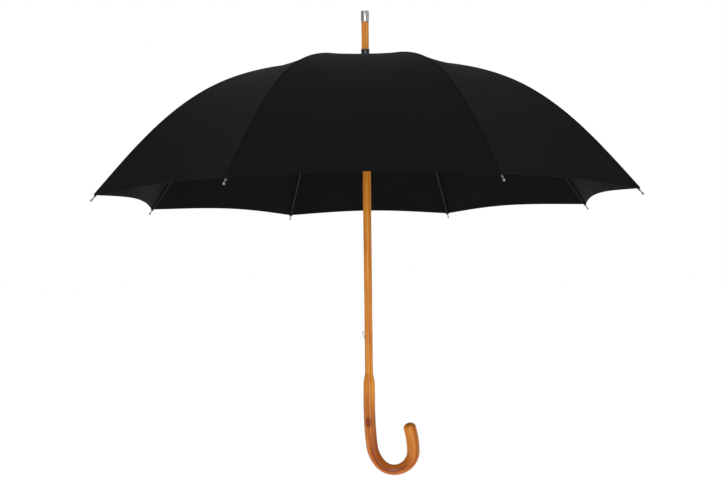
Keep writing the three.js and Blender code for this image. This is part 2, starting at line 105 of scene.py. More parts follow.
# A half gore is cut across at these lengths along its rib, and fold() works out a share for each part.
INNER_BANDS = (0, 70 * MM, 150 * MM, 265 * MM)
OUTER_BANDS = (265 * MM, 597 * MM)
CLOSED_TILT = math.radians(JOINTS["rib_1_hinge"]["range_deg"][1])
STRAIGHTENING = math.radians(JOINTS["rib_1_flex"]["range_deg"][0])
FOLD_MARGIN = 1.04              # a folded part reaches just past the middle between two ribs
FOLD_MOST = 0.6                 # the largest share of its width that a part keeps when it folds

STITCH_PITCH = 3.2 * MM
STITCH_LENGTH = 2.1 * MM
STITCH_RADIUS = 0.2 * MM
HEM_FOLD = 6.5 * MM


# ---- mesh helpers ----

SHARP_FROM = math.radians(50)       # a cloth edge that turns more than this is shaded sharp
BEVEL_FROM = math.radians(40)
MERGE_WITHIN = 1e-6


def finished(name, bm, *materials, smooth=True):
    """A bmesh becomes a linked object at the origin, with its materials."""
    mesh = bpy.data.meshes.new(name)
    for face in bm.faces:
        face.smooth = smooth
    bm.to_mesh(mesh)
    bm.free()
    piece = bpy.data.objects.new(name, mesh)
    bpy.context.scene.collection.objects.link(piece)
    for material in materials:
        mesh.materials.append(material)
    return piece


def crisp(piece, width, segments=2):
    """A small bevel on the sharp edges."""
    bevel = piece.modifiers.new("edge", "BEVEL")
    bevel.width = width
    bevel.segments = segments
    bevel.limit_method = "ANGLE"
    bevel.angle_limit = BEVEL_FROM
    return piece


def turned_bmesh(profile, segments=48):
    """(radius, z) points, spun about Z."""
    bm = bmesh.new()
    verts = [bm.verts.new((radius, 0, z)) for radius, z in profile]
    edges = [bm.edges.new(pair) for pair in zip(verts, verts[1:])]
    bmesh.ops.spin(bm, geom=verts + edges, cent=(0, 0, 0), axis=(0, 0, 1), dvec=(0, 0, 0),
                   angle=2 * math.pi, steps=segments, use_merge=True, use_duplicate=False)
    bmesh.ops.remove_doubles(bm, verts=bm.verts, dist=MERGE_WITHIN)
    bmesh.ops.recalc_face_normals(bm, faces=bm.faces)
    return bm


def rounded(corners, fillet, steps=4):
    """(radius, z) corners with each inner corner rounded."""
    points = [corners[0]]
    for before, here, after in zip(corners, corners[1:], corners[2:]):
        here, before, after = Vector(here), Vector(before), Vector(after)
        reach = min(fillet, (before - here).length / 2.2, (after - here).length / 2.2)
        a = here + (before - here).normalized() * reach
        b = here + (after - here).normalized() * reach
        for i in range(steps + 1):
            t = i / steps
            points.append(tuple(a * (1 - t) ** 2 + here * 2 * t * (1 - t) + b * t ** 2))
    points.append(corners[-1])
    return points


def rod_bmesh(stations, sides=16, attribute=None):
    """A round rod through (matrix, length along it): a ring that is extruded from one matrix to the next."""
    bm = bmesh.new()
    layer = bm.verts.layers.float_vector.new(attribute) if attribute else None
    ring = bmesh.ops.create_circle(bm, segments=sides, radius=1)["verts"]
    edges = list(bm.edges)
    previous = Matrix.Identity(4)
    ends = []
    for index, (matrix, along) in enumerate(stations):
        if index:
            grown = bmesh.ops.extrude_edge_only(bm, edges=edges)["geom"]
            ring = [item for item in grown if isinstance(item, bmesh.types.BMVert)]
            edges = [item for item in grown if isinstance(item, bmesh.types.BMEdge)]
        bmesh.ops.transform(bm, matrix=matrix @ previous.inverted(), verts=ring)
        previous = matrix
        if layer:
            radius = matrix.to_scale().x
            for vert in ring:
                local = matrix.inverted() @ vert.co
                vert[layer] = (local.x * radius, local.y * radius, along)
        if index in (0, len(stations) - 1):
            ends.append(list(edges))
    for loop in ends:
        bmesh.ops.contextual_create(bm, geom=loop)
    bmesh.ops.recalc_face_normals(bm, faces=bm.faces)
    return bm


def station(place, forward, radius):
    """A matrix whose Z points forward, its X in the plane of the crook, scaled to the radius."""
    forward = Vector(forward).normalized()
    side = Vector((0, 1, 0))
    out = side.cross(forward).normalized()
    turn = Matrix((out, side, forward)).transposed().to_4x4()
    return Matrix.Translation(place) @ turn @ Matrix.Diagonal((radius, radius, radius, 1))


def wire_stations(points, radius, steps=6):
    """Stations along a smooth curve through points in the XZ plane."""
    path = []
    for i in range(len(points) - 1):
        p0 = points[max(i - 1, 0)]
        p1, p2 = points[i], points[i + 1]
        p3 = points[min(i + 2, len(points) - 1)]
        for step in range(steps + (i == len(points) - 2)):
            t = step / steps
            path.append(0.5 * (2 * p1 + (p2 - p0) * t + (2 * p0 - 5 * p1 + 4 * p2 - p3) * t ** 2
                               + (3 * p1 - p0 - 3 * p2 + p3) * t ** 3))
    ahead = [(b - a) for a, b in zip(path, path[1:])]
    ahead.append(ahead[-1])
    return [(station(place, forward, radius), 0) for place, forward in zip(path, ahead)]


def patch_bmesh(place, columns, rows, cut=None):
    """A grid whose every point is put at place(u, v), with u and v from 0 to 1.

    cut(u, v) is the point's place on the flat cloth.
    """
    bm = bmesh.new()
    bmesh.ops.create_grid(bm, x_segments=columns, y_segments=rows, size=0.5)
    layer = bm.loops.layers.uv.new("cloth")
    shares = {vert: (vert.co.x + 0.5, vert.co.y + 0.5) for vert in bm.verts}
    for face in bm.faces:
        for loop in face.loops:
            u, v = shares[loop.vert]
            loop[layer].uv = cut(u, v) if cut else (u, v)
    for vert, (u, v) in shares.items():
        vert.co = place(u, v)
    return bm


def thicken(piece, thickness):
    """A sheet gets its thickness, half to each side, and its cut edges stay sharp."""
    bm = bmesh.new()
    bm.from_mesh(piece.data)
    bm.normal_update()
    for vert, shift in [(vert, vert.normal * thickness / 2) for vert in bm.verts]:
        vert.co += shift
    bmesh.ops.solidify(bm, geom=bm.faces[:], thickness=thickness)
    for edge in bm.edges:
        edge.smooth = edge.calc_face_angle(math.pi) < SHARP_FROM
    bm.to_mesh(piece.data)
    bm.free()
    return piece


def lerp(a, b, share):
    return a + (b - a) * share


def smoothstep(x, low, high):
    share = min(1.0, max(0.0, (x - low) / (high - low)))
    return share * share * (3 - 2 * share)


# ---- the rib's curve and the canopy's surface, in a rib's own sector ----

def rib_slope(along):
    """How steeply the rib falls at a length along it: the bend tightens, then eases towards the tip."""
    curvature = 2 * (RIB_SLOPE_BEND - RIB_SLOPE_START) / RIB_BEND_AT
    if along < RIB_BEND_AT:
        return RIB_SLOPE_START + curvature * along ** 2 / (2 * RIB_BEND_AT)
    past = along - RIB_BEND_AT
    rest = RIB_LENGTH - RIB_BEND_AT
    end_curvature = 2 * (RIB_SLOPE_END - RIB_SLOPE_BEND) / rest - curvature
    return RIB_SLOPE_BEND + curvature * past - (curvature - end_curvature) * past ** 2 / (2 * rest)


RIB_STEP = 1 * MM
RIB_TABLE = [(PIVOT_RADIUS, 0.0)]
for step in range(round(RIB_LENGTH / RIB_STEP)):
    slope = rib_slope((step + 0.5) * RIB_STEP)
    last_x, last_z = RIB_TABLE[-1]
    RIB_TABLE.append((last_x + math.cos(slope) * RIB_STEP, last_z - math.sin(slope) * RIB_STEP))


def rib_point(along):
    """Radius, and height below the notch's pivots, at a length along the rib."""
    index = min(max(int(along / RIB_STEP), 0), len(RIB_TABLE) - 2)
    share = along / RIB_STEP - index
    (x0, z0), (x1, z1) = RIB_TABLE[index], RIB_TABLE[index + 1]
    return lerp(x0, x1, share), lerp(z0, z1, share)


def rib_along(radius):
    """Length along the rib at a radius from the stick's axis."""
    if radius <= RIB_TABLE[0][0]:
        return 0.0
    low, high = 0, len(RIB_TABLE) - 1
    while high - low > 1:
        middle = (low + high) // 2
        if RIB_TABLE[middle][0] > radius:
            high = middle
        else:
            low = middle
    return (low + (radius - RIB_TABLE[low][0]) / (RIB_TABLE[high][0] - RIB_TABLE[low][0])) * RIB_STEP


def cloth_z(x, y):
    """Height of the cloth at a place in the sector: x out along the rib, y across it."""
    along_gore = x * math.cos(HALF_GORE) + abs(y) * math.sin(HALF_GORE)
    across = abs(y) * math.cos(HALF_GORE) - x * math.sin(HALF_GORE)
    half_width = along_gore * math.tan(HALF_GORE)
    along = rib_along(along_gore / math.cos(HALF_GORE))
    share = min(1.0, along / FABRIC_CORNER_AT)
    sag = HEM_SAG * share ** SAG_GROWTH
    back = rib_point(along)[1] + (RIB_HALF_HEIGHT + FABRIC_GAP) / math.cos(rib_slope(along))
    lift = CROWN_LIFT * (1 - smoothstep(math.hypot(x, y), 17 * MM, 46 * MM))
    return back + lift + CLOTH_RISE - sag * (1 - (across / half_width) ** 2)


CORNER_RADIUS = rib_point(FABRIC_CORNER_AT)[0]


def hem_radius(angle):
    """Radius of the scalloped hem at an angle from its rib."""
    from_middle = HALF_GORE - abs(angle)
    share = math.tan(from_middle) / math.tan(HALF_GORE)
    return (CORNER_RADIUS * math.cos(HALF_GORE) - HEM_SCALLOP * (1 - share ** 2)) / math.cos(from_middle)


def sector_matrix(k):
    """From rib k's own sector, its rib along X and the pivots at height 0, to the model's frame."""
    return Matrix.Translation((0, 0, NOTCH_Z)) @ Matrix.Rotation((2 * k + 1) * HALF_GORE, 4, "Z")


def put_in_sector(bm, k):
    bmesh.ops.transform(bm, matrix=sector_matrix(k), verts=bm.verts)
    return bm


# ---- shader helpers ----

def set_inputs(made, **values):
    """Values of a node's unlinked inputs. In a label, an underscore stands for a space."""
    for label, value in values.items():
        made.inputs[int(label) if label.isdigit() else label.replace("_", " ")].default_value = value


def node(tree, kind, place, **values):
    """A node of a kind, with its settings and, after in_, the values of its unlinked inputs."""
    made = tree.nodes.new(kind)
    made.location = place
    for key, value in values.items():
        if key.startswith("in_"):
            set_inputs(made, **{key[3:]: value})
        else:
            setattr(made, key, value)
    return made


def blank_material(name):
    """A new material, its tree and its Principled shader."""
    material = bpy.data.materials.new(name)
    material.use_nodes = True
    return material, material.node_tree, material.node_tree.nodes["Principled BSDF"]


def ramp(tree, place, *stops):
    """A colour ramp through (position, colour) stops. A single number is a grey."""
    made = node(tree, "ShaderNodeValToRGB", place)
    elements = made.color_ramp.elements
    while len(elements) < len(stops):
        elements.new(0.5)
    for element, (position, color) in zip(elements, stops):
        element.position = position
        element.color = (*color, 1) if isinstance(color, tuple) else (color, color, color, 1)
    return made


def new_group(name, inputs, outputs):
    """An empty shader group with named sockets; its input and output nodes are returned too."""
    group = bpy.data.node_groups.new(name, "ShaderNodeTree")
    for label, kind, value in inputs:
        socket = group.interface.new_socket(label, in_out="INPUT", socket_type=kind)
        socket.default_value = value
    for label, kind in outputs:
        group.interface.new_socket(label, in_out="OUTPUT", socket_type=kind)
    return group, group.nodes.new("NodeGroupInput"), group.nodes.new("NodeGroupOutput")


def handling_group():
    """Fine unevenness of a finish that has been handled: a roughness and a height."""
    group, start, end = new_group(
        "handled_finish",
        [("Scale", "NodeSocketFloat", 60.0), ("Least", "NodeSocketFloat", 0.2),
         ("Most", "NodeSocketFloat", 0.4)],
        [("Roughness", "NodeSocketFloat"), ("Height", "NodeSocketFloat")],
    )
    link = group.links.new
    place = node(group, "ShaderNodeTexCoord", (-800, 0))
    broad = node(group, "ShaderNodeTexNoise", (-600, 100), in_Detail=6.0, in_Roughness=0.6)
    fine = node(group, "ShaderNodeTexNoise", (-600, -200), in_Detail=3.0)
    finer = node(group, "ShaderNodeMath", (-700, -300), operation="MULTIPLY", in_1=14.0)
    spread = node(group, "ShaderNodeMapRange", (-300, 100), in_1=0.3, in_2=0.7)
    link(place.outputs["Object"], broad.inputs["Vector"])
    link(place.outputs["Object"], fine.inputs["Vector"])
    link(start.outputs["Scale"], broad.inputs["Scale"])
    link(start.outputs["Scale"], finer.inputs[0])
    link(finer.outputs[0], fine.inputs["Scale"])
    link(broad.outputs[0], spread.inputs["Value"])
    link(start.outputs["Least"], spread.inputs["To Min"])
    link(start.outputs["Most"], spread.inputs["To Max"])
    link(spread.outputs["Result"], end.inputs["Roughness"])
    link(fine.outputs[0], end.inputs["Height"])
    return group


def weave_group():
    """A plain weave on a cloth UV map in metres: its height and a slight change of shade between threads."""
    group, start, end = new_group(
        "plain_weave",
        [("Pitch", "NodeSocketFloat", 0.0006), ("Slub", "NodeSocketFloat", 0.3)],
        [("Height", "NodeSocketFloat"), ("Shade", "NodeSocketFloat")],
    )
    link = group.links.new
    flat = node(group, "ShaderNodeUVMap", (-1000, 0), uv_map="cloth")
    apart = node(group, "ShaderNodeSeparateXYZ", (-820, 0))
    link(flat.outputs[0], apart.inputs[0])
    turns = node(group, "ShaderNodeMath", (-820, -220), operation="DIVIDE", in_0=2 * math.pi)
    link(start.outputs["Pitch"], turns.inputs[1])
    waves = []
    for axis in (0, 1):
        phase = node(group, "ShaderNodeMath", (-640, 120 - 200 * axis), operation="MULTIPLY")
        wave = node(group, "ShaderNodeMath", (-480, 120 - 200 * axis), operation="SINE")
        link(apart.outputs[axis], phase.inputs[0])
        link(turns.outputs[0], phase.inputs[1])
        link(phase.outputs[0], wave.inputs[0])
        waves.append(wave)
    crossing = node(group, "ShaderNodeMath", (-300, 60), operation="MULTIPLY")
    link(waves[0].outputs[0], crossing.inputs[0])
    link(waves[1].outputs[0], crossing.inputs[1])
    thick = node(group, "ShaderNodeTexNoise", (-640, -320), in_Scale=380.0, in_Detail=2.0)
    link(flat.outputs[0], thick.inputs["Vector"])
    height = node(group, "ShaderNodeMath", (-120, 60), operation="MULTIPLY_ADD", in_1=0.5)
    link(crossing.outputs[0], height.inputs[0])
    slub = node(group, "ShaderNodeMath", (-300, -240), operation="MULTIPLY")
    link(thick.outputs[0], slub.inputs[0])
    link(start.outputs["Slub"], slub.inputs[1])
    link(slub.outputs[0], height.inputs[2])
    link(height.outputs[0], end.inputs["Height"])
    link(thick.outputs[0], end.inputs["Shade"])
    return group


HANDLED = handling_group()
WEAVE = weave_group()


def use_group(tree, group, place, **values):
    made = node(tree, "ShaderNodeGroup", place)
    made.node_tree = group
    set_inputs(made, **values)
    return made


def bumped(tree, shader, height, distance, strength=1.0):
    bump = node(tree, "ShaderNodeBump", (-220, -320), in_Strength=strength, in_Distance=distance)
    tree.links.new(height, bump.inputs["Height"])
    tree.links.new(bump.outputs["Normal"], shader.inputs["Normal"])


def metal(name, color, metallic, least, most, scale=90.0, coat=0.0):
    """Plated or enamelled metal with a handled finish."""
    material, tree, shader = blank_material(name)
    link = tree.links.new
    finish = use_group(tree, HANDLED, (-700, -60), Scale=scale, Least=least, Most=most)
    tint = node(tree, "ShaderNodeTexNoise", (-760, 260), in_Scale=scale * 0.4, in_Detail=4.0)
    place = node(tree, "ShaderNodeTexCoord", (-960, 260))
    tones = ramp(tree, (-540, 260), (0.3, tuple(c * 0.86 for c in color)), (0.7, color))
    link(place.outputs["Object"], tint.inputs["Vector"])
    link(tint.outputs[0], tones.inputs[0])
    link(tones.outputs[0], shader.inputs["Base Color"])
    link(finish.outputs["Roughness"], shader.inputs["Roughness"])
    bumped(tree, shader, finish.outputs["Height"], 0.02 * MM, 0.5)
    set_inputs(shader, Metallic=metallic, Coat_Weight=coat, Coat_Roughness=0.12)
    return material


def cloth(name, color, pitch=0.55 * MM, sheen=0.005):
    """Matt black umbrella cloth: plain weave, faint slubs and a soft sheen."""
    material, tree, shader = blank_material(name)
    link = tree.links.new
    weave = use_group(tree, WEAVE, (-760, -200), Pitch=pitch, Slub=0.35)
    place = node(tree, "ShaderNodeTexCoord", (-1160, 260))
    broad = node(tree, "ShaderNodeTexNoise", (-960, 260), in_Scale=9.0, in_Detail=5.0)
    both = node(tree, "ShaderNodeMath", (-760, 200), operation="MULTIPLY_ADD", in_1=0.45)
    tones = ramp(tree, (-560, 260), (0.35, tuple(c * 0.82 for c in color)),
                 (0.85, tuple(c * 1.2 for c in color)))
    rough = node(tree, "ShaderNodeMapRange", (-560, -20), in_3=0.62, in_4=0.8)
    link(place.outputs["Object"], broad.inputs["Vector"])
    link(weave.outputs["Shade"], both.inputs[0])
    link(broad.outputs[0], both.inputs[2])
    link(both.outputs[0], tones.inputs[0])
    link(tones.outputs[0], shader.inputs["Base Color"])
    link(broad.outputs[0], rough.inputs["Value"])
    link(rough.outputs["Result"], shader.inputs["Roughness"])
    bumped(tree, shader, weave.outputs["Height"], 0.05 * MM, 0.6)
    set_inputs(shader, Sheen_Weight=sheen, Sheen_Roughness=0.45, Specular_IOR_Level=0.03)
    return material


def varnished_wood():
    """Honey to chestnut wood: long grain along the stick, streaks, pores and knots, under varnish.

    The pattern reads the place on the stick as if it were straight: across it in x and y, and
    the length along it in z, so that the grain follows the crook.
    """
    material, tree, shader = blank_material("varnished_wood")
    link = tree.links.new
    straight = node(tree, "ShaderNodeAttribute", (-1500, 0), attribute_name="straight")
    stretch = node(tree, "ShaderNodeMapping", (-1300, 120), in_Scale=(260, 260, 9))
    drift = node(tree, "ShaderNodeTexNoise", (-1100, 220), in_Scale=1.0, in_Detail=6.0, in_Distortion=0.9)
    bands = node(tree, "ShaderNodeMapping", (-1300, -160), in_Scale=(60, 60, 3.2))
    broad = node(tree, "ShaderNodeTexNoise", (-1100, -120), in_Scale=1.0, in_Detail=3.0, in_Distortion=1.4)
    pores = node(tree, "ShaderNodeMapping", (-1300, -420), in_Scale=(1900, 1900, 60))
    specks = node(tree, "ShaderNodeTexNoise", (-1100, -420), in_Scale=1.0, in_Detail=2.0)
    for source, texture in ((stretch, drift), (bands, broad), (pores, specks)):
        link(straight.outputs["Vector"], source.inputs["Vector"])
        link(source.outputs[0], texture.inputs["Vector"])
    grain = ramp(tree, (-880, 260), (0.28, (0.54, 0.155, 0.010)), (0.45, (0.74, 0.265, 0.024)),
                 (0.62, (0.86, 0.37, 0.050)), (0.80, (0.64, 0.205, 0.016)))
    link(drift.outputs[0], grain.inputs[0])
    tone = ramp(tree, (-880, -60), (0.34, (0.72, 0.58, 0.48)), (0.62, 1.0))
    link(broad.outputs[0], tone.inputs[0])
    toned = node(tree, "ShaderNodeMix", (-600, 200), data_type="RGBA", blend_type="MULTIPLY", in_0=0.8)
    link(grain.outputs[0], toned.inputs[6])
    link(tone.outputs[0], toned.inputs[7])
    colour = toned.outputs[2]
    apart = node(tree, "ShaderNodeSeparateXYZ", (-1300, -720))
    link(straight.outputs["Vector"], apart.inputs[0])

    # The grip and crook are stained redder than the shaft.
    down = node(tree, "ShaderNodeMapRange", (-1100, -720), in_1=STRAIGHT_AT_GRIP + 60 * MM,
                in_2=-STICK_LENGTHS[-1])
    redder = ramp(tree, (-900, -720), (0.0, 0.0), (0.18, 0.50), (0.5, 1.0), (0.75, 0.85), (0.95, 0.40))
    stained = node(tree, "ShaderNodeMix", (-420, 120), data_type="RGBA", blend_type="MULTIPLY")
    stain = ramp(tree, (-680, -300), (0.40, (0.36, 0.18, 0.11)), (0.60, (0.84, 0.60, 0.50)))
    link(broad.outputs[0], stain.inputs[0])
    link(stain.outputs[0], stained.inputs[7])
    link(apart.outputs[2], down.inputs["Value"])
    link(down.outputs["Result"], redder.inputs[0])
    link(redder.outputs[0], stained.inputs[0])
    link(colour, stained.inputs[6])
    colour = stained.outputs[2]

    for index, (knot, size) in enumerate(KNOTS):
        row = -980 - 240 * index
        away = node(tree, "ShaderNodeVectorMath", (-1100, row), operation="SUBTRACT", in_1=knot)
        flat = node(tree, "ShaderNodeVectorMath", (-940, row), operation="MULTIPLY", in_1=(1, 1, 0.55))
        near = node(tree, "ShaderNodeVectorMath", (-780, row), operation="LENGTH")
        eye = ramp(tree, (-600, row), (0.0, (0.30, 0.12, 0.08)), (0.35, (0.62, 0.34, 0.22)),
                   (0.55, (0.46, 0.22, 0.14)), (1.0, 1.0))
        reach = node(tree, "ShaderNodeMath", (-700, row + 80), operation="DIVIDE", in_1=size)
        over = node(tree, "ShaderNodeMix", (-240 + 40 * index, -40), data_type="RGBA",
                    blend_type="MULTIPLY", in_0=1.0)
        link(straight.outputs["Vector"], away.inputs[0])
        link(away.outputs[0], flat.inputs[0])
        link(flat.outputs[0], near.inputs[0])
        link(near.outputs["Value"], reach.inputs[0])
        link(reach.outputs[0], eye.inputs[0])
        link(colour, over.inputs[6])
        link(eye.outputs[0], over.inputs[7])
        colour = over.outputs[2]

    link(colour, shader.inputs["Base Color"])
    rough = node(tree, "ShaderNodeMapRange", (-420, -260), in_3=0.24, in_4=0.36)
    link(specks.outputs[0], rough.inputs["Value"])
    link(rough.outputs["Result"], shader.inputs["Roughness"])
    bumped(tree, shader, specks.outputs[0], 0.06 * MM, 0.5)
    set_inputs(shader, Specular_IOR_Level=0.15, Coat_Weight=0.25, Coat_Roughness=0.12)
    return material


# ---- stage, light and camera ----

FLOOR_Z = -0.62


def add_softbox(name, place, aim, size, power):
    """A rectangular area light, aimed at a point."""
    light = bpy.data.lights.new(name, "AREA")
    light.shape = "RECTANGLE"
    light.size, light.size_y = size
    light.energy = power
    lamp = bpy.data.objects.new(name, light)
    lamp.location = place
    lamp.rotation_euler = (Vector(aim) - Vector(place)).to_track_quat("-Z", "Y").to_euler()
    bpy.context.scene.collection.objects.link(lamp)


def build_stage():
    """A pale floor well below the umbrella, a soft sun overhead and one softbox at the front."""
    bm = bmesh.new()
    bmesh.ops.create_grid(bm, x_segments=2, y_segments=2, size=30)
    bmesh.ops.translate(bm, vec=(0, 0, FLOOR_Z), verts=bm.verts)
    pale, _, shader = blank_material("pale_floor")
    set_inputs(shader, Base_Color=(0.93, 0.93, 0.93, 1), Roughness=0.9,
               Emission_Color=(1, 1, 1, 1), Emission_Strength=0.36)
    floor = finished("floor", bm, pale, smooth=False)
    build_world()
    overhead = bpy.data.lights.new("overhead", "SUN")
    overhead.energy = 0.9
    overhead.angle = math.radians(80)
    lamp = bpy.data.objects.new("overhead", overhead)
    lamp.location = (0, 0, 3)
    bpy.context.scene.collection.objects.link(lamp)
    add_softbox("softbox", place=(0.1, -2.7, 0.5), aim=(0, 0, 0.35), size=(0.6, 2.0), power=21)
    bpy.context.scene.view_settings.view_transform = "Standard"


def build_world():
    """A white studio. The object is lit by dimmer walls: bright in the middle, darker to each side."""
    world = bpy.data.worlds.new("studio")
    bpy.context.scene.world = world
    world.use_nodes = True
    tree = world.node_tree
    link = tree.links.new
    background = tree.nodes["Background"]
    place = node(tree, "ShaderNodeTexCoord", (-900, 0))
    apart = node(tree, "ShaderNodeSeparateXYZ", (-740, 0))
    across = node(tree, "ShaderNodeMapRange", (-580, 0), in_1=-1.0, in_2=1.0)
    walls = ramp(tree, (-420, 0), (0.0, 0.20), (0.26, 0.42), (0.47, 0.78), (0.62, 0.30),
                 (0.78, 0.38), (1.0, 0.42))
    seen = node(tree, "ShaderNodeLightPath", (-420, 300))
    mixed = node(tree, "ShaderNodeMix", (-200, 0), data_type="RGBA", in_7=(1, 1, 1, 1))
    link(place.outputs["Generated"], apart.inputs[0])
    link(apart.outputs[0], across.inputs["Value"])
    link(across.outputs["Result"], walls.inputs[0])
    link(walls.outputs[0], mixed.inputs[6])
    link(seen.outputs["Is Camera Ray"], mixed.inputs[0])
    link(mixed.outputs[2], background.inputs["Color"])
    set_inputs(background, Strength=1.0)


SENSOR_WIDTH = 36
IMAGE_WIDTH = 728
FOCAL_LENGTH = 877.85           # in the same unit as the image width
CAMERA_PLACE = (0.0164, -1.7167, 0.276)
CAMERA_PAN, CAMERA_TILT, CAMERA_ROLL = 0.0136, 0.0244, -0.0115


def build_camera():
    """A camera in front of the umbrella, level with its middle and looking slightly up."""
    data = bpy.data.cameras.new("camera")
    data.sensor_width = SENSOR_WIDTH
    data.lens = FOCAL_LENGTH * SENSOR_WIDTH / IMAGE_WIDTH
    camera = bpy.data.objects.new("camera", data)
    camera.location = CAMERA_PLACE
    level = Matrix.Rotation(CAMERA_PAN, 4, "Z") @ Matrix.Rotation(math.pi / 2 + CAMERA_TILT, 4, "X")
    camera.rotation_euler = (level @ Matrix.Rotation(CAMERA_ROLL, 4, "Z")).to_euler()
    bpy.context.scene.collection.objects.link(camera)
    bpy.context.scene.camera = camera


# ---- the stick ----

SPIKE_SHOULDER_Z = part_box("crown_collar")[0].z - 0.3 * MM
SPIKE_TOP_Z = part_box("stick")[1].z
CAP_LOW, CAP_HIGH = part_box("ferrule_cap")
SPIKE_RADIUS = 7.2 * MM
TENON_RADIUS = 6.5 * MM


def crook_radius(heading):
    """The wood is slimmest at the lowest point of the crook, and fullest towards its end."""
    lowest = math.pi / 2
    if heading < lowest:
        return lerp(HANDLE_RADIUS, CROOK_BEND_RADIUS, smoothstep(heading, 0, lowest))
    return lerp(CROOK_BEND_RADIUS, CROOK_END_RADIUS, smoothstep(heading, lowest, 2 * lowest))


def stick_path():
    """(place, forward, radius) down the axis and round the crook."""
    path = []

    def straight(z, radius):
        path.append((Vector((0, 0, z)), Vector((0, 0, -1)), radius))

    straight(SPIKE_TOP_Z, TENON_RADIUS)
    straight(CAP_LOW.z - 0.3 * MM, TENON_RADIUS)
    straight(CAP_LOW.z - 0.6 * MM, SPIKE_RADIUS - 0.3 * MM)
    straight(CAP_LOW.z - 0.9 * MM, SPIKE_RADIUS)
    straight(SPIKE_SHOULDER_Z, SPIKE_RADIUS)
    straight(SPIKE_SHOULDER_Z - 1 * MM, SHAFT_RADIUS)
    for z in range(640, 70, -30):
        straight(z * MM, SHAFT_RADIUS)
    for i in range(17):
        share = i / 16
        swell = math.sin(share * math.pi / 2) ** 1.4
        straight(lerp(SHOULDER_TOP_Z, SHOULDER_BOTTOM_Z, share), lerp(SHAFT_RADIUS, HANDLE_RADIUS, swell))
    for z in range(36, 0, -6):
        straight(z * MM, HANDLE_RADIUS)
    straight(CROOK_START_Z, HANDLE_RADIUS)
    x, z, heading = 0.0, CROOK_START_Z, 0.0
    for radius, until in CROOK_ARCS:
        start_x, start_z, start = x, z, math.radians(heading)
        steps = max(10, round((until - heading) / 3.5))
        for i in range(1, steps + 1):
            turn = lerp(start, math.radians(until), i / steps)
            x = start_x + radius * (math.cos(start) - math.cos(turn))
            z = start_z + radius * (math.sin(start) - math.sin(turn))
            path.append((Vector((x, 0, z)), Vector((math.sin(turn), 0, -math.cos(turn))), crook_radius(turn)))
        heading = until
    end, forward, _ = path[-1]
    for i in range(1, 9):
        angle = math.radians(84) * i / 8
        reach = CROOK_END_RADIUS * math.sin(angle) * 0.8
        path.append((end + forward * reach, forward, CROOK_END_RADIUS * math.cos(angle) ** 0.9))
    return path


STICK_PATH = stick_path()
STICK_LENGTHS = [0.0]
for (before, _, _), (here, _, _) in zip(STICK_PATH, STICK_PATH[1:]):
    STICK_LENGTHS.append(STICK_LENGTHS[-1] + (here - before).length)
STRAIGHT_AT_GRIP = -next(length for length, (place, _, _) in zip(STICK_LENGTHS, STICK_PATH) if place.z <= 0)

# (place on the straightened stick, radius of the mark)
KNOTS = (
    ((2.5 * MM, -10.5 * MM, STRAIGHT_AT_GRIP - 22 * MM), 7 * MM),
    ((-8.5 * MM, 6.5 * MM, STRAIGHT_AT_GRIP - 120 * MM), 5.5 * MM),
    ((8.0 * MM, 7.5 * MM, STRAIGHT_AT_GRIP + 18 * MM), 5 * MM),
)


def build_stick(wood):
    """The stick in one piece, lumpy at the grip and the knots, with a slot for each spring."""
    stations = [(station(place, forward, radius), -length)
                for (place, forward, radius), length in zip(STICK_PATH, STICK_LENGTHS)]
    bm = rod_bmesh(stations, sides=48, attribute="straight")
    layer = bm.verts.layers.float_vector["straight"]
    for vert in bm.verts:
        across, aside, along = vert[layer]
        if along < STRAIGHT_AT_GRIP + 40 * MM:
            lump = 0.16 * MM * math.sin(along * 63) * math.cos(3 * math.atan2(aside, across) + along * 25)
            for knot, size in KNOTS:
                away = Vector((across, aside, along)) - Vector(knot)
                lump += 0.5 * MM * math.exp(-(away.length / size) ** 2)
            vert.co += vert.normal * lump
    stick = finished("stick_wood", bm, wood)
    for name in ("hand_spring", "top_spring"):
        cut_slot(stick, name)
    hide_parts("stick")
    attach(stick, "stick")


def cut_slot(stick, spring):
    """The slot in the shaft that a spring sinks into."""
    low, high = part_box(spring)
    bm = bmesh.new()
    bmesh.ops.create_cube(bm, size=1)
    size = Vector((10.5 * MM, 2.2 * MM, high.z - low.z + 6 * MM))
    bmesh.ops.scale(bm, vec=size, verts=bm.verts)
    bmesh.ops.translate(bm, vec=(1.2 * MM - size.x / 2, 0, (low.z + high.z) / 2), verts=bm.verts)
    cutter = finished("slot_cutter", bm)
    boolean = stick.modifiers.new("slot", "BOOLEAN")
    boolean.operation = "DIFFERENCE"
    boolean.object = cutter
    evaluated = stick.evaluated_get(bpy.context.evaluated_depsgraph_get())
    cut_mesh = bpy.data.meshes.new_from_object(evaluated)
    stick.modifiers.clear()
    stick.data = cut_mesh
    bpy.data.objects.remove(cutter)


def build_spring(name, material):
    """A bent steel wire: its foot in the slot, a long slope to the nose, and a short return."""
    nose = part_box(name)[1].z - 1.7 * MM
    nose_x = -SHAFT_RADIUS - SPRING_REACH
    foot = nose - SPRING_RISE
    points = [Vector((x, 0, z)) for x, z in (
        (-3.4 * MM, foot), (-4.2 * MM, foot + 3 * MM), (nose_x + 1.2 * MM, nose - 3.4 * MM),
        (nose_x, nose - 1 * MM), (nose_x + 1.2 * MM, nose), (-4.6 * MM, nose + 1 * MM))]
    wire = finished(f"{name}_wire", rod_bmesh(wire_stations(points, 0.7 * MM), sides=12), material)
    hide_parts(name)
    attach(wire, name)


